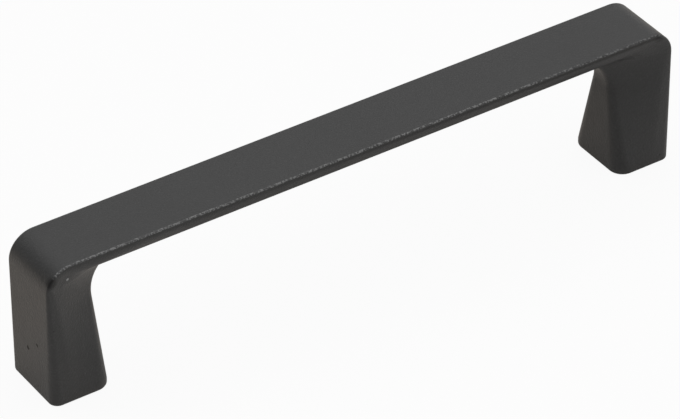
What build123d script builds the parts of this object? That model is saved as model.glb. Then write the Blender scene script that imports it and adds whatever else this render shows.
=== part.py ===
from build123d import *
from math import asin, atan2, cos, hypot, pi, radians, sin, tan
import os

# Driving sizes of the whole pull, in millimetres
hole_spacing = 128.0
height = 30.3
top_width = 13.9
foot_depth = 12.6
foot_width = 15.4
end_flare = 0.18

# Bar section: flat top with crisp edges, convex sides and a shallow belly
crisp_edge = 0.4
side_radius = 4.3
belly_drop = 0.38

# Bends that turn the bar down into the legs, where the crisp edges soften
bend_radius = 0.3
bend_edge = 0.5
bend_steps = 5

# Leg: square and softly rounded at the foot, drawn in to a slim nose at the neck
foot_band = 1.2
foot_outer_round = 1.9
foot_inner_round = 3.0
foot_flank = 4.2
foot_edge_round = 0.45
neck_depth = 11.6
neck_flat = 0.8
neck_round = 1.6
inner_fillet = 7.2

# Steps of the loft along the inner fillet, and how far the neck is hidden in the bar
fillet_steps = 4
last_turn = radians(80)
root_cover = 2.2

# Tapped holes for M4 screws
tap_bore = 3.3
tap_depth = 14.0
drill_point = radians(118)

# Sizes that follow from the ones above
hole_x = hole_spacing / 2
end_x = hole_x + foot_depth / 2 - end_flare
foot_inner = foot_depth - end_flare
neck_width = 2 * neck_round + neck_flat
side_centre = top_width / 2 - side_radius
bar_depth = crisp_edge + side_radius + belly_drop
belly_turn = atan2((side_centre**2 - belly_drop**2) / (2 * belly_drop), side_centre)
corner_radius = bar_depth + bend_radius
straight = end_x - corner_radius
corner_z = height - corner_radius
neck_z = height - bar_depth
fillet_z = neck_z - inner_fillet
corner_turn = asin((corner_z - fillet_z) / inner_fillet)


def blend(first, last, share):
    """Size between a first and a last value."""
    return first + (last - first) * share


def climb(z, top):
    """Share of the way from the band of the foot up to a height."""
    return max(z - foot_band, 0) / (top - foot_band)


def round_point(centre, radius, turn):
    """Point on a round, with the turn counted from the side towards the inside."""
    return centre[0] + radius * sin(turn), centre[1] + radius * cos(turn)


def side_point(turn):
    """Point on the convex side of the bar."""
    return round_point((crisp_edge, side_centre), side_radius, turn)


def flipped(point, side):
    """Point carried to one side of the outline."""
    return point[0], side * point[1]


def arc(centre, radius, first_turn, last_turn, side):
    """Arc of a round on one side of the outline."""
    turns = (first_turn, (first_turn + last_turn) / 2, last_turn)
    return ThreePointArc(*[flipped(round_point(centre, radius, turn), side) for turn in turns])


def edge_round(edge):
    """Centre of an edge round laid on the convex side, and the turn at which they meet."""
    spare = side_radius - edge
    turn = asin((edge - crisp_edge) / spare)
    return (edge, side_centre + spare * cos(turn)), turn


def bar_section(edge):
    """Flat top, edge rounds, convex sides and belly, with X as the depth."""
    centre, turn = edge_round(edge)
    deep, wide = side_point(belly_turn)
    outline = [Line((0, -centre[1]), (0, centre[1]))]
    outline.append(ThreePointArc((deep, -wide), (bar_depth, 0), (deep, wide)))
    for side in (1, -1):
        outline.append(arc(centre, edge, -pi / 2, turn, side))
        outline.append(arc((crisp_edge, side_centre), side_radius, turn, belly_turn, side))
    return make_face(outline)


def nose_reach(z):
    """How far the inner fillet has carried the nose inwards at a height."""
    rise = max(z - fillet_z, 0)
    return inner_fillet - (inner_fillet**2 - rise**2) ** 0.5


def nose_round(z, reach):
    """Centre and radius of the rounds at the inner edges of a leg."""
    share = climb(z, neck_z)
    radius = blend(foot_inner_round, neck_round, share)
    depth = blend(foot_inner, neck_depth, share) + reach
    half = blend(foot_width, neck_width, share) / 2
    return (depth - radius, half - radius), radius


def cheek_turn():
    """Turn on the side of the bar where a flat cheek leaves it smoothly for the nose."""
    centre, radius = nose_round(corner_z, nose_reach(corner_z))
    away = centre[0] - crisp_edge
    across = side_centre - centre[1]
    return atan2(across, away) + asin((side_radius - radius) / hypot(away, across))


def nose(z, start, reach):
    """Cheeks, nose rounds and inner face, from the ends of the flanks inwards."""
    centre, radius = nose_round(z, reach)
    away = centre[0] - start[0]
    across = start[1] - centre[1]
    lean = atan2(across, away) - asin(radius / hypot(away, across))
    depth = centre[0] + radius
    outline = [Line((depth, -centre[1]), (depth, centre[1]))]
    for side in (1, -1):
        touch = round_point(centre, radius, lean)
        outline.append(Line(flipped(start, side), flipped(touch, side)))
        outline.append(arc(centre, radius, lean, pi / 2, side))
    return outline


def flank_point(foot_x, turn, share):
    """Point on the flank of a leg between the flat foot and the convex side of the bar."""
    deep, wide = side_point(turn)
    return blend(foot_x, deep, share), blend(foot_width / 2, wide, share)


def flank(points, side):
    """Flank of a leg through three points, straight at the foot."""
    first, middle, last = [flipped(point, side) for point in points]
    if middle[1] == last[1]:
        return Line(first, last)
    return ThreePointArc(first, middle, last)


def leg_section(z):
    """Level section of a leg, with X running inwards from the end of the bar."""
    share = climb(z, corner_z)
    (_, top_y), top_turn = edge_round(bend_edge)
    edge = blend(foot_outer_round, bend_edge, share)
    start_x = end_flare * (share - 1)
    centre = (start_x + edge, blend(foot_width / 2 - foot_outer_round, top_y, share))
    flank_start = round_point(centre, edge, share * top_turn)
    flank_middle = flank_point(foot_flank - foot_outer_round / 2, (top_turn + cheek_turn()) / 2, share)
    flank_end = flank_point(foot_flank, cheek_turn(), share)
    outline = [Line((start_x, -centre[1]), (start_x, centre[1]))]
    for side in (1, -1):
        outline.append(arc(centre, edge, -pi / 2, share * top_turn, side))
        outline.append(flank((flank_start, flank_middle, flank_end), side))
    return make_face(outline + nose(z, flank_end, nose_reach(z)))


def neck_section(z, reach):
    """Level section of the neck inside the bend, from the flanks inwards."""
    start = side_point(cheek_turn())
    across = Line(flipped(start, -1), start)
    return make_face([across] + nose(z, start, reach))


def level(z):
    """Plane at a height, with X running inwards from the end of the bar."""
    return Plane(origin=(end_x, 0, z), x_dir=(-1, 0, 0), z_dir=(0, 0, 1))


def foot():
    """Upright band at the bottom of a leg, with its lower edge rounded."""
    band = extrude(level(0) * leg_section(0), foot_band)
    sole = band.faces().sort_by(Axis.Z)[0]
    return fillet(sole.edges(), foot_edge_round)


def leg():
    """Leg from its square foot to the slim neck and on along the inner fillet."""
    turns = [corner_turn * step / fillet_steps for step in range(fillet_steps + 1)]
    heights = [fillet_z + inner_fillet * sin(turn) for turn in turns]
    shaft = loft([level(z) * leg_section(z) for z in (foot_band, fillet_z)], ruled=True)
    shoulder = loft([level(z) * leg_section(z) for z in heights])
    return foot() + shaft + shoulder


def neck():
    """Top of the leg, which carries the inner fillet on into the belly of the bar."""
    entry_z = fillet_z + inner_fillet * sin(last_turn)
    entry_reach = nose_reach(entry_z)
    root_z = height - root_cover
    root_reach = entry_reach + (root_z - entry_z) * tan(last_turn)
    sections = [
        level(corner_z) * neck_section(corner_z, nose_reach(corner_z)),
        level(entry_z) * neck_section(entry_z, entry_reach),
        level(root_z) * neck_section(entry_z, root_reach),
    ]
    return loft(sections, ruled=True)


def bend():
    """Quarter turn of the bar down to the top of a leg, with softening edges."""
    sections = []
    for step in range(bend_steps + 1):
        share = step / bend_steps
        turn = share * pi / 2
        inward = Vector(-sin(turn), 0, -cos(turn))
        outside = Vector(straight, 0, corner_z) - inward * corner_radius
        plane = Plane(origin=outside, x_dir=inward, z_dir=(cos(turn), 0, -sin(turn)))
        sections.append(plane * bar_section(blend(crisp_edge, bend_edge, share)))
    return loft(sections)


def bar():
    """Straight bar between the two bends."""
    start = Plane(origin=(-straight, 0, height), x_dir=(0, 0, -1), z_dir=(1, 0, 0))
    return extrude(start * bar_section(crisp_edge), 2 * straight)


def tapped_hole():
    """Bore for a machine screw, closed by the cone of the drill point."""
    radius = tap_bore / 2
    point = radius / tan(drill_point / 2)
    bore = Pos(hole_x, 0, 0) * extrude(Circle(radius), tap_depth)
    return bore + Pos(hole_x, 0, tap_depth + point / 2) * Cone(radius, 0, point)


def pull_handle():
    """Whole casting, standing on its feet."""
    side = bend() + leg() + neck()
    body = bar() + side + mirror(side, Plane.YZ)
    hole = tapped_hole()
    return body - hole - mirror(hole, Plane.YZ)


os.makedirs("parts", exist_ok=True)
export_step(pull_handle(), "parts/pull_handle.step")
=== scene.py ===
"""Looks of a matt black cast bar pull for a drawer or cabinet door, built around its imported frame."""

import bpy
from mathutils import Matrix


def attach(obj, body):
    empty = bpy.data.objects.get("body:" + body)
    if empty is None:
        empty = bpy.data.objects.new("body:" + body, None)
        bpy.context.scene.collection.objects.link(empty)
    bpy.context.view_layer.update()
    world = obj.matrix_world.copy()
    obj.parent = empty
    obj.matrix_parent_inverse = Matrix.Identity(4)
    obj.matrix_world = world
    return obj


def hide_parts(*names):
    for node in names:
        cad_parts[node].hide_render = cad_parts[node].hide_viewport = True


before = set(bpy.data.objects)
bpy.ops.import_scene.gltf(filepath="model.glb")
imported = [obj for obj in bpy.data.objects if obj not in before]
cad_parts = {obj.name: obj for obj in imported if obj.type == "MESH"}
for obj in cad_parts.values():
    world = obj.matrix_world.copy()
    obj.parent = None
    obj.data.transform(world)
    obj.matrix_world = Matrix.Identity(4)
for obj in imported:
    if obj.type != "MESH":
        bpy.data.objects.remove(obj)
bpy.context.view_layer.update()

import logging
import math
from dataclasses import dataclass
from enum import Enum
from functools import reduce
from typing import Any, Callable, Mapping, Sequence, Union

import bmesh
import bpy
from mathutils import Matrix, Vector
from mathutils.bvhtree import BVHTree
from mathutils.geometry import barycentric_transform
from mathutils.kdtree import KDTree

LOG = logging.getLogger("bar_pull")
MM = 0.001
BODY = "root"
NODE = "pull_handle"
SPOT_CORE = 0.3
NOISE_ROUGHNESS = 0.55
SMOOTH_STEP = {"interpolation_type": "SMOOTHSTEP", "clamp": True}

Point = tuple[float, float]
Span = tuple[float, float]
Loop = list[Vector]
Walls = tuple[float, float, float, float]
Skins = dict[int, "CleanSkin"]
Meeting = dict[int, dict[int, Vector]]
Number = Union["Wire", float]
Key = Union[str, int]
Settings = Mapping[str, Any] | None
Inputs = Mapping[Key, Any] | None


class Side(Enum):
    """End of the pull that a leg or a bend belongs to."""

    RIGHT = 1
    LEFT = -1


class Skin(Enum):
    """Skin that a face of the joined casting comes from."""

    BAR = 0
    RIGHT_LEG = 1
    LEFT_LEG = 2


@dataclass(frozen=True)
class Pattern:
    """Noise pattern: the size of its blotches in millimetres, and its number of finer layers."""

    size: float
    layers: float


@dataclass(frozen=True)
class Spot:
    """Soft round spot of a surface, in millimetres. On the pull a pale one is a caught grain of the
    coating, and a dark one a pit, or painted shade at a bend's front corner.
    """

    place: tuple[float, float, float]
    radius: float
    strength: float = 1.0
    pale: bool = False


class Wire:
    """Socket of a node tree that is used like a number in an expression."""

    def __init__(self, graph: "Graph", socket: bpy.types.NodeSocket) -> None:
        """Keeps the graph and the socket."""
        self.graph = graph
        self.socket = socket

    def _math(self, operation: str, *values: Number) -> "Wire":
        """Result of a Math node that takes the values in order."""
        return self.graph.value("ShaderNodeMath", {"operation": operation}, dict(enumerate(values)))

    def __add__(self, other: Number) -> "Wire":
        """Sum."""
        return self._math("ADD", self, other)

    __radd__ = __add__

    def __sub__(self, other: Number) -> "Wire":
        """Difference."""
        return self._math("SUBTRACT", self, other)

    def __rsub__(self, other: Number) -> "Wire":
        """Difference from a number."""
        return self._math("SUBTRACT", other, self)

    def __mul__(self, other: Number) -> "Wire":
        """Product."""
        return self._math("MULTIPLY", self, other)

    __rmul__ = __mul__

    def __truediv__(self, other: Number) -> "Wire":
        """Quotient."""
        return self._math("DIVIDE", self, other)

    def __neg__(self) -> "Wire":
        """Opposite."""
        return self._math("MULTIPLY", self, -1.0)

    def __pow__(self, other: Number) -> "Wire":
        """Power."""
        return self._math("POWER", self, other)

    def most(self, other: Number) -> "Wire":
        """Larger of two."""
        return self._math("MAXIMUM", self, other)

    def rise(self, low: float, high: float) -> "Wire":
        """Smooth step from 0 at the low value to 1 at the high one."""
        inputs = {"Value": self, "From Min": low, "From Max": high}
        return self.graph.value("ShaderNodeMapRange", SMOOTH_STEP, inputs)

    def hump(self, middle: float, width: float) -> "Wire":
        """Smooth hump that is 1 at the middle value and 0 beyond the width on either side."""
        return self.rise(middle - width, middle) * (1 - self.rise(middle, middle + width))


class Graph:
    """Node tree that is filled by method calls and expressions."""

    def __init__(self, tree: bpy.types.NodeTree) -> None:
        """Empties the tree and keeps it."""
        tree.nodes.clear()
        self.tree = tree

    def _socket(self, sockets: Any, key: Key) -> bpy.types.NodeSocket:
        """Finds a socket by its place, its identifier or its name."""
        known = {socket.identifier: socket for socket in sockets}
        return known[key] if key in known else sockets[key]

    def node(self, kind: str, settings: Settings = None, inputs: Inputs = None) -> bpy.types.Node:
        """Adds a node.

        Args:
            kind: the node's type.
            settings: properties that are set before the inputs.
            inputs: values or wires of the input sockets.

        Returns:
            The new node.
        """
        made = self.tree.nodes.new(kind)
        for name, value in (settings or {}).items():
            setattr(made, name, value)
        for key, value in (inputs or {}).items():
            socket = self._socket(made.inputs, key)
            if isinstance(value, Wire):
                self.tree.links.new(value.socket, socket)
            else:
                socket.default_value = value
        return made

    def value(self, kind: str, settings: Settings = None, inputs: Inputs = None, output: Key = 0) -> Wire:
        """Adds a node and gives one of its outputs as a wire."""
        made = self.node(kind, settings, inputs)
        return Wire(self, self._socket(made.outputs, output))

    def parts(self, vector: Wire) -> tuple[Wire, Wire, Wire]:
        """Three parts of a vector."""
        made = self.node("ShaderNodeSeparateXYZ", {}, {"Vector": vector})
        return tuple(Wire(self, made.outputs[name]) for name in "XYZ")

    def noise(self, place: Wire, pattern: Pattern) -> Wire:
        """Noise around 0.5, over coordinates in metres."""
        sizes = {"Scale": 1 / (pattern.size * MM), "Detail": pattern.layers, "Roughness": NOISE_ROUGHNESS}
        return self.value("ShaderNodeTexNoise", {}, {"Vector": place, **sizes}, "Fac")

    def spot(self, place: Wire, spot: Spot) -> Wire:
        """Mask of a soft spot.

        Args:
            place: coordinates in metres.
            spot: where it is, how wide and how strong.

        Returns:
            Its strength in its core, and 0 outside it.
        """
        middle = tuple(part * MM for part in spot.place)
        gap = self.value("ShaderNodeVectorMath", {"operation": "DISTANCE"}, {0: place, 1: middle}, "Value")
        return (1 - gap.rise(SPOT_CORE * spot.radius * MM, spot.radius * MM)) * spot.strength

    def mix(self, share: Number, first: Any, second: Any) -> Wire:
        """Colour with a share of the second one over the first."""
        inputs = {"Factor_Float": share, "A_Color": first, "B_Color": second}
        return self.value("ShaderNodeMix", {"data_type": "RGBA"}, inputs, "Result_Color")


def grey(tone: float, warmth: float = 0.0) -> tuple[float, float, float, float]:
    """Linear grey, with red raised and blue lowered by the warmth's share."""
    return (tone * (1 + warmth), tone, tone * (1 - warmth), 1.0)


@dataclass(frozen=True)
class PowderCoat:
    """Fine-textured matt black powder coat on a casting, worn along its crisp upper edges with a painted
    highlight laid over the wear, and with painted shade under those edges, on the bar's underside and at
    the bends' front corners.
    """

    name: str = "powder_coat"
    tone: float = 0.030
    roughness: float = 0.42
    grain: Pattern = Pattern(0.38, 3.0)
    grain_height: float = 0.090 * MM
    grain_span: Span = (0.50, 0.80)
    grain_share: float = 0.5
    grain_tone: float = 1.9
    grain_rough: float = 0.20
    flow: Pattern = Pattern(2.2, 1.0)
    flow_height: float = 0.050 * MM
    cloud: Pattern = Pattern(19.8, 2.0)
    cloud_span: Span = (0.3, 0.7)
    cloud_tone: float = 0.06
    cloud_rough: float = 0.06
    # Wear along the crisp upper edges, lightened into a painted highlight that fades from the left end to
    # the right one
    wear_and_highlight_tone: float = 0.215
    sparkle: Pattern = Pattern(0.38, 1.0)
    sparkle_span: Span = (0.48, 0.60)
    sparkle_gain: float = 1.20
    wear_and_highlight_floor: float = 0.20
    wear_and_highlight_middle: float = 0.97
    highlight_fall_along: float = 7.5
    # Painted shade: a dark line just under the bar's upper edges, stronger towards the right end
    line_height: float = 29.52 * MM
    line_width: float = 0.65 * MM
    line_reach: float = 6.70 * MM
    line_fade: float = 0.15 * MM
    line_middle: float = 0.65
    line_gain: float = 8.0
    # Painted shade and a rougher coat on the bar's downward faces between the legs
    under_painted_shade: float = 0.30
    under_rough: float = 0.30
    # Pits and pale grains; two of the dark spots are painted shade at the bends' front corners
    pit_and_shade_depth: float = 0.10 * MM
    pit_and_shade_tone: float = 0.25
    pale_height: float = 0.03 * MM
    pale_tone: float = 0.35
    spots: tuple[Spot, ...] = (
        Spot((-70.24, 0.77, 8.86), 0.66),
        Spot((-70.22, -2.65, 11.55), 0.58, 0.8),
        Spot((-69.27, -7.19, 17.31), 0.30, 0.25),
        Spot((67.65, -7.68, 1.84), 0.34, 0.3),
        # Painted shade at the front corners of the two bends, not pits
        Spot((-69.02, -6.91, 27.68), 1.60, 0.45),
        Spot((66.80, -6.94, 29.45), 1.60, 0.30),
        Spot((-65.26, -6.10, 26.68), 0.42, pale=True),
    )

    def _mask(self, graph: Graph, place: Wire, pale: bool) -> Wire:
        """Mask of the pale spots, or else of the dark ones."""
        spots = [graph.spot(place, spot) for spot in self.spots if spot.pale == pale]
        return reduce(Wire.most, spots)

    def material(self) -> bpy.types.Material:
        """Builds the finish.

        Returns:
            The material.
        """
        made = bpy.data.materials.new(self.name)
        made.use_nodes = True
        graph = Graph(made.node_tree)
        place = graph.value("ShaderNodeTexCoord", output="Object")
        along, across, height = graph.parts(place)
        grain, flow = graph.noise(place, self.grain), graph.noise(place, self.flow)
        cloud, sparkle = graph.noise(place, self.cloud), graph.noise(place, self.sparkle)
        wear_and_highlight = graph.value("ShaderNodeAttribute", {"attribute_name": "wear_and_highlight"}, output="Fac")
        under = graph.value("ShaderNodeAttribute", {"attribute_name": "under"}, output="Fac")
        # Wear on the crisp upper edges, lightened into a painted highlight that sparkle breaks up and that
        # fades towards the right end
        specks = self.wear_and_highlight_floor + self.sparkle_gain * sparkle.rise(*self.sparkle_span)
        worn_and_highlit = wear_and_highlight * specks * (self.wear_and_highlight_middle - along * self.highlight_fall_along)
        # Painted shade: a dark line on both long sides just under the upper edges, stronger towards the
        # right end
        beside = (across * across).rise(self.line_reach**2, (self.line_reach + self.line_fade) ** 2)
        painted_shade_line = height.hump(self.line_height, self.line_width) * beside
        painted_shade_line = painted_shade_line * (self.line_middle + along * self.line_gain)
        pits_and_painted_shade = self._mask(graph, place, pale=False)
        pale = self._mask(graph, place, pale=True)

        darker, lighter = grey(self.tone * (1 - self.cloud_tone)), grey(self.tone * (1 + self.cloud_tone))
        tone = graph.mix(cloud.rise(*self.cloud_span), darker, lighter)
        grains = grain.rise(*self.grain_span) * self.grain_share
        tone = graph.mix(grains, tone, grey(self.tone * self.grain_tone))
        # Painted shade on the bar's underside
        tone = graph.mix(under * self.under_painted_shade, tone, grey(0.0))
        tone = graph.mix(painted_shade_line, tone, grey(0.0))
        # Wear with its painted highlight on the crisp upper edges
        tone = graph.mix(worn_and_highlit, tone, grey(self.wear_and_highlight_tone))
        # Pits, and painted shade at the front corners of the bends
        tone = graph.mix(pits_and_painted_shade, tone, grey(self.tone * self.pit_and_shade_tone))
        tone = graph.mix(pale, tone, grey(self.pale_tone))
        roughness = self.roughness + (grain - 0.5) * self.grain_rough
        roughness = roughness + (cloud - 0.5) * self.cloud_rough + under * self.under_rough

        relief = grain * self.grain_height + flow * self.flow_height
        relief = relief - pits_and_painted_shade * self.pit_and_shade_depth + pale * self.pale_height
        inputs = {"Strength": 1.0, "Distance": 1.0, "Height": relief}
        bump = graph.value("ShaderNodeBump", {}, inputs, "Normal")
        # Metallic takes the reflection out of the dark spots: the pits, and the painted shade at the
        # corners
        inputs = {"Base Color": tone, "Roughness": roughness, "Metallic": pits_and_painted_shade, "Normal": bump}
        shader = graph.value("ShaderNodeBsdfPrincipled", {}, inputs)
        graph.node("ShaderNodeOutputMaterial", {}, {"Surface": shader})
        return made


def blend(first: float, last: float, share: float) -> float:
    """Value between a first and a last one."""
    return first + (last - first) * share


def climbed(value: float, low: float, high: float) -> float:
    """Share of the way from a low to a high value, kept between 0 and 1."""
    return min(max((value - low) / (high - low), 0.0), 1.0)


def eased(share: float) -> float:
    """Share that starts and ends gently."""
    return share * share * (3 - 2 * share)


def arc(centre: Point, radius: float, first: float, last: float, steps: int) -> list[Point]:
    """Points along an arc.

    Args:
        centre: its centre, as depth and width.
        radius: its radius.
        first: turn at its start, counted from the side towards the inside.
        last: turn at its end.
        steps: number of its chords.

    Returns:
        The points, both ends included.
    """
    turns = [blend(first, last, i / steps) for i in range(steps + 1)]
    return [(centre[0] + radius * math.sin(t), centre[1] + radius * math.cos(t)) for t in turns]


def line(first: Point, last: Point, shares: Sequence[float]) -> list[Point]:
    """Points at given shares of a straight line."""
    return [(blend(first[0], last[0], s), blend(first[1], last[1], s)) for s in shares]


def put(thing: bpy.types.Object) -> bpy.types.Object:
    """Puts an object in the scene."""
    bpy.context.scene.collection.objects.link(thing)
    return thing


def tube(name: str, loops: Sequence[Loop], skin: Skin) -> bpy.types.Object:
    """Closed skin through a row of loops.

    Args:
        name: the object's name.
        loops: rings of the same number of points, the first and the last of which are capped.
        skin: what its faces are marked as.

    Returns:
        The new object, with its faces turned outwards.
    """
    made = bmesh.new()
    rings = [[made.verts.new(point * MM) for point in loop] for loop in loops]
    count = len(loops[0])
    for ring, following in zip(rings, rings[1:]):
        for i in range(count):
            j = (i + 1) % count
            made.faces.new((ring[i], ring[j], following[j], following[i]))
    made.faces.new(rings[0])
    made.faces.new(rings[-1])
    bmesh.ops.recalc_face_normals(made, faces=made.faces)
    marks = made.faces.layers.int.new("skin")
    for face in made.faces:
        face[marks] = skin.value
    mesh = bpy.data.meshes.new(name)
    made.to_mesh(mesh)
    made.free()
    return put(bpy.data.objects.new(name, mesh))


class CleanSkin:
    """Smooth shading of one skin, as it is before the skins are joined."""

    def __init__(self, mesh: bpy.types.Mesh, sharp: float) -> None:
        """Keeps the skin's triangles and their corners' normals.

        Args:
            mesh: the skin's mesh.
            sharp: turn from which an edge stays sharp.
        """
        mesh.shade_smooth()
        mesh.set_sharp_from_angle(angle=sharp)
        mesh.calc_loop_triangles()
        spots = [vert.co.copy() for vert in mesh.vertices]
        faces = [tuple(face.vertices) for face in mesh.loop_triangles]
        self.tree = BVHTree.FromPolygons(spots, faces)
        self.corners = [tuple(spots[i] for i in face) for face in faces]
        self.normals = [
            tuple(mesh.corner_normals[i].vector.copy() for i in face.loops) for face in mesh.loop_triangles
        ]

    def normal(self, spot: Vector) -> Vector:
        """Shading normal of the skin beside a spot on it or close to it."""
        near, _, index, _ = self.tree.find_nearest(spot)
        return barycentric_transform(near, *self.corners[index], *self.normals[index]).normalized()


def place_piece(name: str, mesh: bpy.types.Mesh) -> bpy.types.Object:
    """Puts a finished mesh in the scene and lets it ride on the pull.

    Args:
        name: the piece's name.
        mesh: its mesh, with its place in it.

    Returns:
        The piece.
    """
    mesh.name = name
    piece = put(bpy.data.objects.new(name, mesh))
    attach(piece, BODY)
    LOG.info("%s: %d faces", name, len(mesh.polygons))
    return piece


@dataclass
class BarPull:
    """The casting: a bar with two bends and two legs, all lengths in millimetres."""

    finish: bpy.types.Material

    # Form, as in the part's source but for the bores, which are opened to the thread's root
    hole_spacing: float = 128.0
    height: float = 30.3
    top_width: float = 13.9
    foot_depth: float = 12.6
    foot_width: float = 15.4
    end_flare: float = 0.18
    crisp_edge: float = 0.4
    side_radius: float = 4.3
    belly_drop: float = 0.38
    bend_radius: float = 0.3
    bend_edge: float = 0.5
    foot_band: float = 1.2
    foot_outer_round: float = 1.9
    foot_inner_round: float = 3.0
    foot_flank: float = 4.2
    foot_edge_round: float = 0.45
    neck_depth: float = 11.6
    neck_flat: float = 0.8
    neck_round: float = 1.6
    inner_fillet: float = 7.2
    last_turn: float = math.radians(80)
    root_cover: float = 2.2
    hole_radius: float = 2.03
    hole_depth: float = 14.0
    hole_chamfer: float = 0.35
    drill_point: float = math.radians(118)
    drill_tip: float = 0.04

    # Points of the mesh along the form
    support: float = 0.18
    flat_shares: tuple[float, ...] = (0.0, 0.3, 0.6, 0.85)
    flank_shares: tuple[float, ...] = (0.1, 0.22, 0.36, 0.52, 0.72, 1.0)
    face_shares: tuple[float, ...] = (0.25, 0.6, 1.0)
    cheek_end: float = 0.96
    edge_steps: int = 10
    side_steps: int = 12
    belly_steps: int = 5
    cheek_steps: int = 9
    nose_steps: int = 12
    bar_steps: int = 24
    bend_steps: int = 24
    sole_steps: int = 8
    leg_steps: int = 20
    fillet_steps: int = 20
    neck_steps: int = 6
    merge_gap: float = 0.002
    sliver: float = 0.001

    # Smooth shading, blended where the skins meet
    crease: float = math.radians(35)
    probe: float = 0.005
    soft_seam: float = math.radians(46)
    seam_blend: float = 3.0
    seam_lean: float = 0.75
    seam_fade: Span = (math.radians(60), math.radians(25))
    bend_lift: float = 0.6
    lift_inside: Span = (49.0, 56.0)
    lift_outside: Span = (67.0, 64.0)

    # Marks of the worn upper edges, which carry a painted highlight, and of the bar's underside, which
    # gets painted shade and a rougher coat
    crisp_bend: Span = (1.2, 2.0)
    wear_and_highlight_outer: Span = (math.radians(4), math.radians(27))
    wear_and_highlight_inner: Span = (math.radians(86), math.radians(66))
    wear_and_highlight_depth: Span = (1.9, 0.5)
    under_slope: Span = (0.2, 0.7)
    under_reach: Span = (56.0, 46.0)

    def __post_init__(self) -> None:
        """Works out the sizes that follow from the others."""
        self.hole_x = self.hole_spacing / 2
        self.end_x = self.hole_x + self.foot_depth / 2 - self.end_flare
        self.foot_inner = self.foot_depth - self.end_flare
        self.neck_width = 2 * self.neck_round + self.neck_flat
        self.side_centre: Point = (self.crisp_edge, self.top_width / 2 - self.side_radius)
        self.bar_depth = self.crisp_edge + self.side_radius + self.belly_drop
        rise = (self.side_centre[1] ** 2 - self.belly_drop**2) / (2 * self.belly_drop)
        self.belly_turn = math.atan2(rise, self.side_centre[1])
        self.belly_radius = rise + self.side_radius + self.belly_drop
        self.corner_radius = self.bar_depth + self.bend_radius
        self.straight = self.end_x - self.corner_radius
        self.corner_z = self.height - self.corner_radius
        self.neck_z = self.height - self.bar_depth
        self.fillet_z = self.neck_z - self.inner_fillet
        self.cheek_turn = self._cheek_turn()

    def climb(self, z: float, top: float) -> float:
        """Share of the way from the band of the foot up to a height."""
        return max(z - self.foot_band, 0.0) / (top - self.foot_band)

    def nose_reach(self, z: float) -> float:
        """How far the inner fillet has carried the nose inwards at a height."""
        rise = max(z - self.fillet_z, 0.0)
        return self.inner_fillet - math.sqrt(self.inner_fillet**2 - rise**2)

    def nose_round(self, z: float, reach: float) -> tuple[Point, float]:
        """Round at the inner edge of a leg.

        Args:
            z: the height of the level.
            reach: how far the inner fillet has carried the nose inwards.

        Returns:
            The round's centre and radius.
        """
        share = self.climb(z, self.neck_z)
        radius = blend(self.foot_inner_round, self.neck_round, share)
        depth = blend(self.foot_inner, self.neck_depth, share) + reach
        half = blend(self.foot_width, self.neck_width, share) / 2
        return (depth - radius, half - radius), radius

    def _cheek_turn(self) -> float:
        """Place where a flat cheek leaves the side of the bar smoothly for the nose.

        Returns:
            Its turn on the side of the bar.
        """
        centre, radius = self.nose_round(self.corner_z, self.nose_reach(self.corner_z))
        away = centre[0] - self.side_centre[0]
        across = self.side_centre[1] - centre[1]
        return math.atan2(across, away) + math.asin((self.side_radius - radius) / math.hypot(away, across))

    def edge_half(self, start: float, centre: Point, edge: float, turn: float) -> list[Point]:
        """Outer flat at the start depth, then the edge round about the centre up to the turn."""
        flat = line((start, 0.0), (start, centre[1]), (*self.flat_shares, 1 - self.support / centre[1]))
        return flat + arc(centre, edge, -math.pi / 2, turn, self.edge_steps)

    def top_half(self, edge: float) -> list[Point]:
        """Outer half of the bar's section, down to where the cheek leaves it.

        Args:
            edge: radius of its edge round.

        Returns:
            The points from the middle of the outer flat.
        """
        spare = self.side_radius - edge
        turn = math.asin((edge - self.crisp_edge) / spare)
        centre = (edge, self.side_centre[1] + spare * math.cos(turn))
        side = arc(self.side_centre, self.side_radius, turn, self.cheek_turn, len(self.flank_shares))
        return self.edge_half(0.0, centre, edge, turn) + side[1:]

    def bar_section(self, edge: float) -> list[Point]:
        """One half of the bar's section, from the middle of the top to the middle of the belly.

        Args:
            edge: radius of its edge round.

        Returns:
            The points.
        """
        side = arc(self.side_centre, self.side_radius, self.cheek_turn, self.belly_turn, self.side_steps)
        centre = (self.bar_depth - self.belly_radius, 0.0)
        belly = arc(centre, self.belly_radius, self.belly_turn, math.pi / 2, self.belly_steps)
        return self.top_half(edge) + side[1:] + belly[1:]

    def foot_half(self) -> list[Point]:
        """Outer half of the foot's outline.

        Returns:
            The points, as many as in the top half.
        """
        edge = self.foot_outer_round
        centre = (edge - self.end_flare, self.foot_width / 2 - edge)
        first = (centre[0], self.foot_width / 2)
        flank = line(first, (self.foot_flank, self.foot_width / 2), self.flank_shares)
        return self.edge_half(-self.end_flare, centre, edge, 0.0) + flank

    def nose_half(self, z: float, start: Point, reach: float) -> list[Point]:
        """Cheek, nose round and inner face of one half of a leg.

        Args:
            z: the height of the level.
            start: end of the flank.
            reach: how far the inner fillet has carried the nose inwards.

        Returns:
            The points after the start.
        """
        centre, radius = self.nose_round(z, reach)
        away = centre[0] - start[0]
        across = start[1] - centre[1]
        lean = math.atan2(across, away) - math.asin(radius / math.hypot(away, across))
        bow = arc(centre, radius, lean, math.pi / 2, self.nose_steps)
        shares = [i / self.cheek_steps for i in range(1, self.cheek_steps)] + [self.cheek_end]
        cheek = line(start, bow[0], shares)
        face = line(bow[-1], (bow[-1][0], 0.0), self.face_shares)
        return cheek + bow + face

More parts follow.
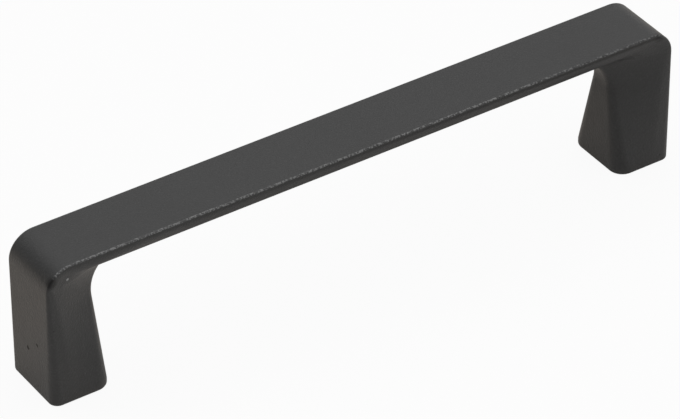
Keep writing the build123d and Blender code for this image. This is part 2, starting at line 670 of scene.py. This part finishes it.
    def leg_half(self, z: float) -> list[Point]:
        """One half of a leg's level section.

        Args:
            z: the height of the level.

        Returns:
            The points, from the outer face to the inner face.
        """
        share = self.climb(z, self.corner_z)
        pairs = zip(self.foot_half(), self.top_half(self.bend_edge))
        outer = [(blend(a[0], b[0], share), blend(a[1], b[1], share)) for a, b in pairs]
        return outer + self.nose_half(z, outer[-1], self.nose_reach(z))

    def neck_half(self, z: float, reach: float) -> list[Point]:
        """One half of the neck, whose outer side is a flat hidden inside the bend.

        Args:
            z: height that its sizes are taken at.
            reach: how far the inner fillet has carried the nose inwards.

        Returns:
            The points, as many as in a leg's half.
        """
        top = self.top_half(self.bend_edge)
        start = top[-1]
        hidden = line((start[0], 0.0), start, [i / (len(top) - 1) for i in range(len(top))])
        return hidden + self.nose_half(z, start, reach)

    def closed(self, half: Sequence[Point], lift: Callable[[float, float], Vector]) -> Loop:
        """Whole loop from one half, whose depths and widths are put in space by the lift."""
        there = [lift(depth, width) for depth, width in half]
        return there + [lift(depth, -width) for depth, width in reversed(half[1:-1])]

    def level_loop(self, half: Sequence[Point], z: float) -> Loop:
        """Whole level loop of the right leg at a height, from one half."""
        return self.closed(half, lambda depth, width: Vector((self.end_x - depth, width, z)))

    def bend_loops(self, side: Side) -> list[Loop]:
        """Loops round a bend, from the bar down to the leg.

        Args:
            side: the end it stands at.

        Returns:
            The loops.
        """
        loops: list[Loop] = []
        for i in range(self.bend_steps + 1):
            share = i / self.bend_steps
            turn = share * math.pi / 2
            inward = Vector((-side.value * math.sin(turn), 0, -math.cos(turn)))
            outside = Vector((side.value * self.straight, 0, self.corner_z)) - inward * self.corner_radius
            half = self.bar_section(blend(self.crisp_edge, self.bend_edge, share))
            loop = self.closed(half, lambda depth, width: outside + inward * depth + Vector((0, width, 0)))
            loops.append(loop)
        return loops

    def bar_shell(self) -> bpy.types.Object:
        """Bar with its two bends, from the top of one leg to the top of the other.

        Returns:
            The new object.
        """
        half = self.bar_section(self.crisp_edge)
        loops = self.bend_loops(Side.LEFT)[::-1]
        for i in range(1, self.bar_steps):
            x = blend(-self.straight, self.straight, i / self.bar_steps)
            loops.append(self.closed(half, lambda depth, width: Vector((x, width, self.height - depth))))
        return tube("bar_shell", loops + self.bend_loops(Side.RIGHT), Skin.BAR)

    def hole_loops(self, outline: Loop) -> list[Loop]:
        """Rings of a screw hole, from its point to its mouth.

        Args:
            outline: loop of the foot, whose points the rings' points face.

        Returns:
            The rings.
        """
        middle = Vector((self.hole_x, 0, 0))
        aims = [(point - middle).to_2d().normalized().to_3d() for point in outline]
        point_z = self.hole_depth + self.hole_radius / math.tan(self.drill_point / 2)
        rings = [(self.drill_tip, point_z), (self.hole_radius, self.hole_depth)]
        rings += [(self.hole_radius, self.hole_chamfer), (self.hole_radius + self.hole_chamfer, 0.0)]
        return [[middle + aim * radius + Vector((0, 0, z)) for aim in aims] for radius, z in rings]

    def foot_loops(self) -> list[Loop]:
        """Rings of the sole and of the round along its edge.

        Returns:
            The rings, from the sole upwards.
        """
        half = self.leg_half(0.0)
        inner = self.shrunk(half, self.foot_edge_round + self.support)
        loops = [self.level_loop(inner, 0.0)]
        for i in range(self.sole_steps):
            turn = i / self.sole_steps * math.pi / 2
            inset = self.foot_edge_round * (1 - math.sin(turn))
            z = self.foot_edge_round * (1 - math.cos(turn))
            loops.append(self.level_loop(self.shrunk(half, inset), z))
        return loops

    def shrunk(self, half: Sequence[Point], inset: float) -> list[Point]:
        """Half outline moved inwards along its own normals.

        Args:
            half: points from one middle to the other.
            inset: how far they move.

        Returns:
            The moved points.
        """
        moved: list[Point] = []
        last = len(half) - 1
        for i, (depth, width) in enumerate(half):
            before = half[i - 1] if i > 0 else (half[1][0], -half[1][1])
            after = half[i + 1] if i < last else (half[last - 1][0], -half[last - 1][1])
            along = Vector((after[0] - before[0], after[1] - before[1])).normalized()
            moved.append((depth + along.y * inset, width - along.x * inset))
        return moved

    def leg_levels(self) -> list[float]:
        """Heights of a leg's rings.

        Returns:
            The heights, from the top of the sole's round to the end of the bend.
        """
        levels = [self.foot_edge_round, blend(self.foot_edge_round, self.foot_band, 0.5)]
        levels += [blend(self.foot_band, self.fillet_z, i / self.leg_steps) for i in range(self.leg_steps)]
        corner_turn = math.asin((self.corner_z - self.fillet_z) / self.inner_fillet)
        turns = [corner_turn * i / self.fillet_steps for i in range(self.fillet_steps + 1)]
        return levels + [self.fillet_z + self.inner_fillet * math.sin(turn) for turn in turns]

    def neck_loops(self) -> list[Loop]:
        """Rings of the neck, which carry the inner fillet on into the bar.

        Returns:
            The rings, from the leg upwards.
        """
        entry_z = self.fillet_z + self.inner_fillet * math.sin(self.last_turn)
        root_z = self.height - self.root_cover
        shares = [step / self.neck_steps for step in range(1, self.neck_steps + 1)]
        loops: list[Loop] = []
        for share in shares:
            z = blend(self.corner_z, entry_z, share)
            loops.append(self.level_loop(self.neck_half(z, self.nose_reach(z)), z))
        for share in shares:
            z = blend(entry_z, root_z, share)
            reach = self.nose_reach(entry_z) + (z - entry_z) * math.tan(self.last_turn)
            loops.append(self.level_loop(self.neck_half(entry_z, reach), z))
        return loops

    def leg_shell(self, side: Side) -> bpy.types.Object:
        """One leg with its neck, its screw hole and its sole.

        Args:
            side: the end it stands at.

        Returns:
            The new object.
        """
        foot = self.foot_loops()
        leg = [self.level_loop(self.leg_half(z), z) for z in self.leg_levels()]
        loops = self.hole_loops(foot[0]) + foot + leg + self.neck_loops()
        if side is Side.LEFT:
            loops = [[Vector((-p.x, p.y, p.z)) for p in loop] for loop in loops]
        skin = Skin.LEFT_LEG if side is Side.LEFT else Skin.RIGHT_LEG
        return tube(f"leg_shell_{side.name.lower()}", loops, skin)

    def joined(self, skins: Skins) -> bpy.types.Mesh:
        """Union of the bar and the legs.

        Args:
            skins: filled with the shading of each skin before the union.

        Returns:
            One closed mesh.
        """
        body = self.bar_shell()
        legs = [self.leg_shell(side) for side in Side]
        for skin, shell in zip(Skin, [body] + legs):
            skins[skin.value] = CleanSkin(shell.data, self.crease)
        for leg in legs:
            union = body.modifiers.new("join", "BOOLEAN")
            union.operation = "UNION"
            union.solver = "EXACT"
            union.object = leg
        graph = bpy.context.evaluated_depsgraph_get()
        mesh = bpy.data.meshes.new_from_object(body.evaluated_get(graph))
        for shell in [body] + legs:
            bpy.data.objects.remove(shell)
        return mesh

    def wear_and_highlight(self, vert: bmesh.types.BMVert) -> float:
        """How much a vertex is worn and carries a painted highlight: most on the outer half of the crisp
        upper edges.

        Args:
            vert: a vertex with its normal worked out.

        Returns:
            0 away from those edges, and 1 in the middle of their rounds.
        """
        bends = []
        for edge in vert.link_edges:
            other = edge.other_vert(vert)
            gap = other.co - vert.co
            bends.append((other.normal - vert.normal).dot(gap) / gap.length_squared)
        crisp = climbed(max(bends) * MM, *self.crisp_bend)
        turn = math.asin(min(abs(vert.normal.y), 1.0))
        across = climbed(turn, *self.wear_and_highlight_outer) * climbed(turn, *self.wear_and_highlight_inner)
        return crisp * across * climbed(self.height - vert.co.z / MM, *self.wear_and_highlight_depth)

    def cleaned(self, mesh: bpy.types.Mesh) -> None:
        """Merges the joined mesh, and marks where it is worn with a painted highlight and where it is the
        bar's underside, which gets painted shade.

        Args:
            mesh: the union of the skins.
        """
        made = bmesh.new()
        made.from_mesh(mesh)
        bmesh.ops.remove_doubles(made, verts=made.verts, dist=self.merge_gap * MM)
        bmesh.ops.dissolve_degenerate(made, edges=made.edges, dist=self.sliver * MM)
        bmesh.ops.recalc_face_normals(made, faces=made.faces)
        made.normal_update()
        made.verts.layers.float.new("wear_and_highlight")
        made.verts.layers.float.new("under")
        wear_and_highlight, under = (made.verts.layers.float[name] for name in ("wear_and_highlight", "under"))
        for vert in made.verts:
            vert[wear_and_highlight] = self.wear_and_highlight(vert)
            inwards = climbed(abs(vert.co.x) / MM, *self.under_reach)
            vert[under] = climbed(-vert.normal.z, *self.under_slope) * inwards
        made.to_mesh(mesh)
        made.free()

    def lift(self, along: float) -> float:
        """Share by which the underside's normals are turned up, at a distance along the bar."""
        return climbed(along, *self.lift_inside) * climbed(along, *self.lift_outside) * self.bend_lift

    def skin_normals(self, mesh: bpy.types.Mesh, skins: Skins) -> tuple[list[Vector], Meeting]:
        """Shading normals that the faces of the joined mesh take from their clean skins.

        Args:
            mesh: the cleaned union, whose faces know their skin.
            skins: shading of each skin before the union.

        Returns:
            A normal for each face corner, and for each vertex their sum on each skin.
        """
        marks = [mark.value for mark in mesh.attributes["skin"].data]
        normals: list[Vector] = [Vector()] * len(mesh.loops)
        meeting: Meeting = {}
        for face in mesh.polygons:
            mark = marks[face.index]
            for corner, vert in zip(face.loop_indices, face.vertices):
                spot = mesh.vertices[vert].co
                inside = spot + (face.center - spot).normalized() * (self.probe * MM)
                normal = skins[mark].normal(inside)
                if mark == Skin.BAR.value and normal.z < 0:
                    normal.z *= 1 - self.lift(abs(spot.x) / MM)
                    normal.normalize()
                normals[corner] = normal
                sums = meeting.setdefault(vert, {})
                sums[mark] = sums.get(mark, Vector()) + normal
        return normals, meeting

    def seam(self, meeting: Meeting) -> list[tuple[int, Vector]]:
        """Vertices where the bar meets a leg at a shallow angle.

        Args:
            meeting: for each vertex, the sum of its normals on each skin.

        Returns:
            Each such vertex with the normal that both skins share there.
        """
        shared: list[tuple[int, Vector]] = []
        for vert, sums in meeting.items():
            sides = {mark: total.normalized() for mark, total in sums.items()}
            bar = sides.pop(Skin.BAR.value, None)
            leg = next(iter(sides.values()), None)
            if bar is not None and leg is not None and bar.angle(leg, 0.0) < self.soft_seam:
                shared.append((vert, bar.lerp(leg, self.seam_lean).normalized()))
        return shared

    def shaded(self, mesh: bpy.types.Mesh, skins: Skins) -> None:
        """Gives the joined mesh the shading of its clean skins, blended softly where they meet.

        Args:
            mesh: the cleaned union, whose faces know their skin.
            skins: shading of each skin before the union.
        """
        normals, meeting = self.skin_normals(mesh, skins)
        seam = self.seam(meeting)
        finder = KDTree(len(seam))
        for i, (vert, _) in enumerate(seam):
            finder.insert(mesh.vertices[vert].co, i)
        finder.balance()
        for corner in mesh.loops:
            _, i, gap = finder.find(mesh.vertices[corner.vertex_index].co)
            shared, own = seam[i][1], normals[corner.index]
            near = 1 - eased(climbed(gap / MM, 0.0, self.seam_blend))
            alike = climbed(shared.angle(own, 0.0), *self.seam_fade)
            normals[corner.index] = shared.lerp(own, 1 - near * alike).normalized()
        mesh.shade_smooth()
        mesh.normals_split_custom_set(normals)
        mesh.attributes.remove(mesh.attributes["skin"])

    def build(self) -> bpy.types.Object:
        """Builds and dresses the casting.

        Returns:
            The piece that stands for the CAD node.
        """
        skins: Skins = {}
        mesh = self.joined(skins)
        self.cleaned(mesh)
        self.shaded(mesh, skins)
        mesh.materials.clear()
        mesh.materials.append(self.finish)
        piece = place_piece("bar_pull", mesh)
        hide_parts(NODE)
        return piece


@dataclass
class ScrewThreads:
    """Metric coarse threads of the two screw holes, made by a geometry node tree, in millimetres."""

    finish: bpy.types.Material
    half_spacing: float = 64.0
    pitch: float = 0.7
    start: float = 0.75
    length: float = 12.4
    crest_radius: float = 1.65
    root_radius: float = 2.07
    crest_share: float = 0.2
    root_share: float = 0.86
    steps_per_turn: int = 32
    crease: float = math.radians(30)

    def _inputs(self) -> dict[str, tuple[str, Any]]:
        """Inputs of the tree.

        Returns:
            Their socket types and values, by name.
        """
        return {
            "Half Spacing": ("NodeSocketFloat", self.half_spacing * MM),
            "Start": ("NodeSocketFloat", self.start * MM),
            "Length": ("NodeSocketFloat", self.length * MM),
            "Pitch": ("NodeSocketFloat", self.pitch * MM),
            "Crest Radius": ("NodeSocketFloat", self.crest_radius * MM),
            "Root Radius": ("NodeSocketFloat", self.root_radius * MM),
            "Steps per Turn": ("NodeSocketInt", self.steps_per_turn),
            "Finish": ("NodeSocketMaterial", self.finish),
        }

    def tree(self) -> bpy.types.NodeTree:
        """Builds the tree that winds one ridge and sets it into both holes.

        Returns:
            The geometry node tree.
        """
        tree = bpy.data.node_groups.new("screw_threads", "GeometryNodeTree")
        for name, (kind, _) in self._inputs().items():
            tree.interface.new_socket(name, in_out="INPUT", socket_type=kind)
        tree.interface.new_socket("Threads", in_out="OUTPUT", socket_type="NodeSocketGeometry")
        graph = Graph(tree)
        given = graph.node("NodeGroupInput")
        sizes = {name: Wire(graph, given.outputs[name]) for name in self._inputs()}

        depth = sizes["Root Radius"] - sizes["Crest Radius"]
        radius = sizes["Crest Radius"] + depth * 0.5
        winding = {
            "Resolution": sizes["Steps per Turn"],
            "Rotations": sizes["Length"] / sizes["Pitch"],
            "Start Radius": radius,
            "End Radius": radius,
            "Height": sizes["Length"],
            "Reverse": True,
        }
        helix = graph.value("GeometryNodeCurveSpiral", {}, winding)
        helix = graph.value("GeometryNodeSetCurveNormal", {"mode": "Z_UP"}, {"Curve": helix})
        flanks = {
            "Height": depth,
            "Bottom Width": sizes["Pitch"] * self.root_share,
            "Top Width": sizes["Pitch"] * self.crest_share,
            "Offset": 0.0,
        }
        ridge = graph.value("GeometryNodeCurvePrimitiveQuadrilateral", {"mode": "TRAPEZOID"}, flanks)
        turned = {"Geometry": ridge, "Rotation": (0.0, 0.0, math.pi / 2)}
        ridge = graph.value("GeometryNodeTransform", {}, turned)
        swept = {"Curve": helix, "Profile Curve": ridge, "Fill Caps": True}
        thread = graph.value("GeometryNodeCurveToMesh", {}, swept)

        first = {"X": -sizes["Half Spacing"], "Z": sizes["Start"]}
        last = {"X": sizes["Half Spacing"], "Z": sizes["Start"]}
        ends = {
            "Count": 2,
            "Start Location": graph.value("ShaderNodeCombineXYZ", {}, first),
            "Offset": graph.value("ShaderNodeCombineXYZ", {}, last),
        }
        holes = graph.value("GeometryNodeMeshLine", {"mode": "END_POINTS"}, ends)
        threads = graph.value("GeometryNodeInstanceOnPoints", {}, {"Points": holes, "Instance": thread})
        threads = graph.value("GeometryNodeRealizeInstances", {}, {"Geometry": threads})
        dressed = {"Geometry": threads, "Material": sizes["Finish"]}
        threads = graph.value("GeometryNodeSetMaterial", {}, dressed)
        graph.node("NodeGroupOutput", {}, {0: threads})
        return tree

    def build(self) -> bpy.types.Object:
        """Builds the threads as one plain mesh.

        Returns:
            The piece.
        """
        carrier = put(bpy.data.objects.new("thread_carrier", bpy.data.meshes.new("thread_carrier")))
        winder = carrier.modifiers.new("threads", "NODES")
        winder.node_group = self.tree()
        values = self._inputs()
        for item in winder.node_group.interface.items_tree:
            if item.in_out == "INPUT":
                winder[item.identifier] = values[item.name][1]
        graph = bpy.context.evaluated_depsgraph_get()
        mesh = bpy.data.meshes.new_from_object(carrier.evaluated_get(graph))
        bpy.data.objects.remove(carrier)
        made = bmesh.new()
        made.from_mesh(mesh)
        bmesh.ops.recalc_face_normals(made, faces=made.faces)
        made.to_mesh(mesh)
        made.free()
        mesh.shade_smooth()
        mesh.set_sharp_from_angle(angle=self.crease)
        return place_piece("screw_threads", mesh)


@dataclass(frozen=True)
class WhiteTable:
    """Plain white table under the pull, whose glow in the coating's gloss varies from place to place."""

    size: float = 3.0
    drop: float = 0.05 * MM
    tone: float = 0.86
    shade_share: float = 0.07
    gloss_share: float = 0.5
    gloss_glow: float = 0.55
    warmth: float = 0.20
    near_warmth: float = 0.06
    warming: Span = (-12 * MM, 20 * MM)
    patches: tuple[Spot, ...] = (Spot((-37.0, -3.0, 0.0), 16.0), Spot((-62.0, -11.0, 0.0), 12.0, 0.40))
    beyond_loss: float = 0.40
    beyond_across: Span = (16 * MM, 28 * MM)
    beyond_along: Span = (-66 * MM, -50 * MM)
    left_gain: float = 0.10
    left_along: Span = (-78 * MM, -68 * MM)
    right_gain: float = 0.35
    right_along: Span = (70 * MM, 90 * MM)

    def _glow(self, graph: Graph, place: Wire) -> Wire:
        """How strongly the table glows in the coating's gloss.

        Args:
            graph: the material's tree.
            place: object coordinates.

        Returns:
            The strength from place to place.
        """
        x, y, _ = graph.parts(place)
        beyond = y.rise(*self.beyond_across) * x.rise(*self.beyond_along)
        left = 1 - x.rise(*self.left_along)
        right = x.rise(*self.right_along)
        glow = 1 - beyond * self.beyond_loss + left * self.left_gain + right * self.right_gain
        for patch in self.patches:
            glow = glow + graph.spot(place, patch)
        return glow * self.gloss_glow

    def material(self) -> bpy.types.Material:
        """Builds the table's finish.

        Returns:
            The material.
        """
        made = bpy.data.materials.new("white_table")
        made.use_nodes = True
        graph = Graph(made.node_tree)
        kinds = ("Is Camera Ray", "Is Glossy Ray", "Is Transmission Ray")
        seen, glossy, passing = (graph.value("ShaderNodeLightPath", output=kind) for kind in kinds)
        mirrored = glossy.most(passing)
        place = graph.value("ShaderNodeTexCoord", output="Object")
        _, across, _ = graph.parts(place)
        tint = graph.mix(across.rise(*self.warming), grey(1.0, self.near_warmth), grey(1.0, self.warmth))
        tint = graph.mix(mirrored, grey(1.0), tint)
        plain = graph.value("ShaderNodeBsdfDiffuse", {}, {"Color": grey(self.tone)})
        glow = {"Color": tint, "Strength": seen + mirrored * self._glow(graph, place)}
        white = graph.value("ShaderNodeEmission", {}, glow)
        share = seen * (1 - self.shade_share) + mirrored * self.gloss_share
        surface = graph.value("ShaderNodeMixShader", {}, {0: share, 1: plain, 2: white})
        below = graph.value("ShaderNodeNewGeometry", output="Backfacing")
        clear = graph.value("ShaderNodeBsdfTransparent")
        surface = graph.value("ShaderNodeMixShader", {}, {0: below, 1: surface, 2: clear})
        graph.node("ShaderNodeOutputMaterial", {}, {"Surface": surface})
        return made

    def build(self) -> bpy.types.Object:
        """Builds the table.

        Returns:
            The plane.
        """
        half = self.size / 2
        mesh = bpy.data.meshes.new("table")
        corners = [(x * half, y * half, -self.drop) for x, y in ((-1, -1), (1, -1), (1, 1), (-1, 1))]
        mesh.from_pydata(corners, [], [(0, 1, 2, 3)])
        mesh.materials.append(self.material())
        table = put(bpy.data.objects.new("table", mesh))
        LOG.info("table: %.1f m wide", self.size)
        return table


@dataclass(frozen=True)
class LightTent:
    """Soft tent whose walls glow by height, each level on its open side, right, back and left."""

    open_side: float = math.radians(-42)
    low: Walls = (0.0, 1.09, 0.73, 0.15)
    middle: Walls = (0.0, 0.0, 0.49, 0.46)
    high: Walls = (0.89, 1.28, 1.59, 1.40)
    roof: float = 0.95
    low_top: Span = (0.15, 0.42)
    middle_top: Span = (0.58, 0.76)
    high_top: Span = (0.84, 0.95)
    least_level: float = 0.0001
    map_size: int = 1024

    def build(self) -> None:
        """Sets the world's light by direction."""
        world = bpy.data.worlds.new("light_tent")
        world.use_nodes = True
        bpy.context.scene.world = world
        graph = Graph(world.node_tree)
        x, y, z = graph.parts(graph.value("ShaderNodeTexCoord", output="Generated"))
        level = (1 - z * z).most(self.least_level) ** 0.5
        lobes: list[Wire] = []
        for quarter in range(len(self.high)):
            aim = self.open_side + quarter * math.pi / 2
            facing = ((x * math.sin(aim) - y * math.cos(aim)) / level).most(0.0)
            lobes.append(facing * facing)
        tops = (self.low_top, self.middle_top, self.high_top)
        above_low, above_middle, above_high = (z.rise(*top) for top in tops)
        glow = above_high * self.roof
        bands = (1 - above_low, above_low - above_middle, above_middle - above_high)
        for band, walls in zip(bands, (self.low, self.middle, self.high)):
            for lobe, wall in zip(lobes, walls):
                if wall > 0:
                    glow = glow + band * lobe * wall
        seen = graph.value("ShaderNodeLightPath", output="Is Camera Ray")
        sky = {"Color": grey(1.0), "Strength": glow * (1 - seen) + seen}
        graph.node("ShaderNodeOutputWorld", {}, {"Surface": graph.value("ShaderNodeBackground", {}, sky)})
        world.cycles.sampling_method = "MANUAL"
        world.cycles.sample_map_resolution = self.map_size
        LOG.info("light tent: roof %.2f", self.roof)


@dataclass(frozen=True)
class PhotoCamera:
    """Camera at the photograph's angle, in millimetres and degrees."""

    azimuth: float = -33.642
    elevation: float = 36.472
    roll: float = -0.163
    distance: float = 821.38
    aim_x: float = -2.076
    aim_y: float = -0.313
    aim_height: float = 12.014
    focal_px: float = 4349.4
    frame_px: float = 680.0
    sensor: float = 36.0
    nearest: float = 50.0

    def build(self) -> bpy.types.Object:
        """Builds the camera.

        Returns:
            The camera, set as the scene's own.
        """
        azimuth, elevation, roll = (math.radians(v) for v in (self.azimuth, self.elevation, self.roll))
        flat = math.cos(elevation)
        back = Vector((math.sin(azimuth) * flat, -math.cos(azimuth) * flat, math.sin(elevation)))
        level = Vector((math.cos(azimuth), math.sin(azimuth), 0))
        upright = back.cross(level)
        right = level * math.cos(roll) + upright * math.sin(roll)
        up = upright * math.cos(roll) - level * math.sin(roll)
        middle = Vector((0, 0, self.aim_height)) + right * self.aim_x + up * self.aim_y
        data = bpy.data.cameras.new("photo_camera")
        data.sensor_width = self.sensor
        data.lens = self.focal_px * self.sensor / self.frame_px
        data.clip_start = self.nearest * MM
        camera = put(bpy.data.objects.new("photo_camera", data))
        turn = Matrix((right, up, back)).transposed().to_4x4()
        camera.matrix_world = Matrix.Translation((middle + back * self.distance) * MM) @ turn
        bpy.context.scene.camera = camera
        LOG.info("camera: lens %.1f mm", data.lens)
        return camera


def main() -> None:
    """Builds the studio and the pull."""
    logging.basicConfig(level=logging.INFO)
    bpy.context.scene.view_settings.view_transform = "Standard"
    PhotoCamera().build()
    LightTent().build()
    WhiteTable().build()
    coat = PowderCoat().material()
    BarPull(coat).build()
    ScrewThreads(coat).build()


if __name__ == "__main__":
    main()
